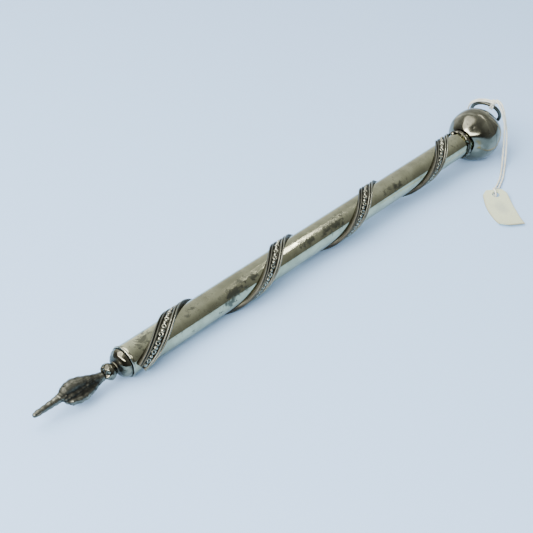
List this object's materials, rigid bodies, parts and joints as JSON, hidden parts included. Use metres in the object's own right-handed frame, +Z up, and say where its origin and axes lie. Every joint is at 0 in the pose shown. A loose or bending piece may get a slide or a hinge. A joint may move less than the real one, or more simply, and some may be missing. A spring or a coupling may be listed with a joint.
{
  "type": "torah pointer",
  "caption": "Slender silver Torah pointer: round tube with a helical beaded band, a small pointing hand at one end, a ball with a hanging ring at the other, and a tag on a string.",
  "frame": {"origin": "on the surface the pointer lies on, under the middle of its overall length", "axes": "+X along the pointer from the finger to the ring, +Z up from the surface, +Y to the side away from the tag; the pointer's axis rises by about 1.6 degrees towards +X, because it rests on its rim wire and its ball"},
  "size_m": [0.2379, 0.0555, 0.0241],
  "materials": {
    "silver": "polished silver with a light warm tarnish",
    "dark_silver": "heavily tarnished silver",
    "band_silver": "silver wire with dark tarnish in its grooves",
    "tag_paper": "matt cream card",
    "string_cotton": "off-white cotton string"
  },
  "bodies": {
    "pointer": {"pointing_hand": "dark_silver", "knob_bead": "silver", "bead_collar": "silver", "front_cap": "silver", "tang_washer": "silver", "cap_rim_wire": "silver", "shaft_tube": "silver", "band_strip": "band_silver", "band_wire_front_outer": "band_silver", "band_wire_front_inner": "band_silver", "band_wire_rear_inner": "band_silver", "band_wire_rear_outer": "band_silver", "band_bead_row": "silver", "ball_collar": "silver", "ball_front_half": "silver", "ball_rear_half": "silver", "finial_button": "silver", "ring_eye": "silver", "tag_string": "string_cotton", "paper_tag": "tag_paper"},
    "ring": {"suspension_ring": "dark_silver", "string_knot": "string_cotton"}
  },
  "joints": [
    {"name": "ring_swing", "type": "hinge", "parent": "pointer", "child": "ring", "pos_m": [0.11681, 0, 0.01093], "axis": [0.0138, 0.866, -0.4998], "range_deg": [0, 230]}
  ]
}
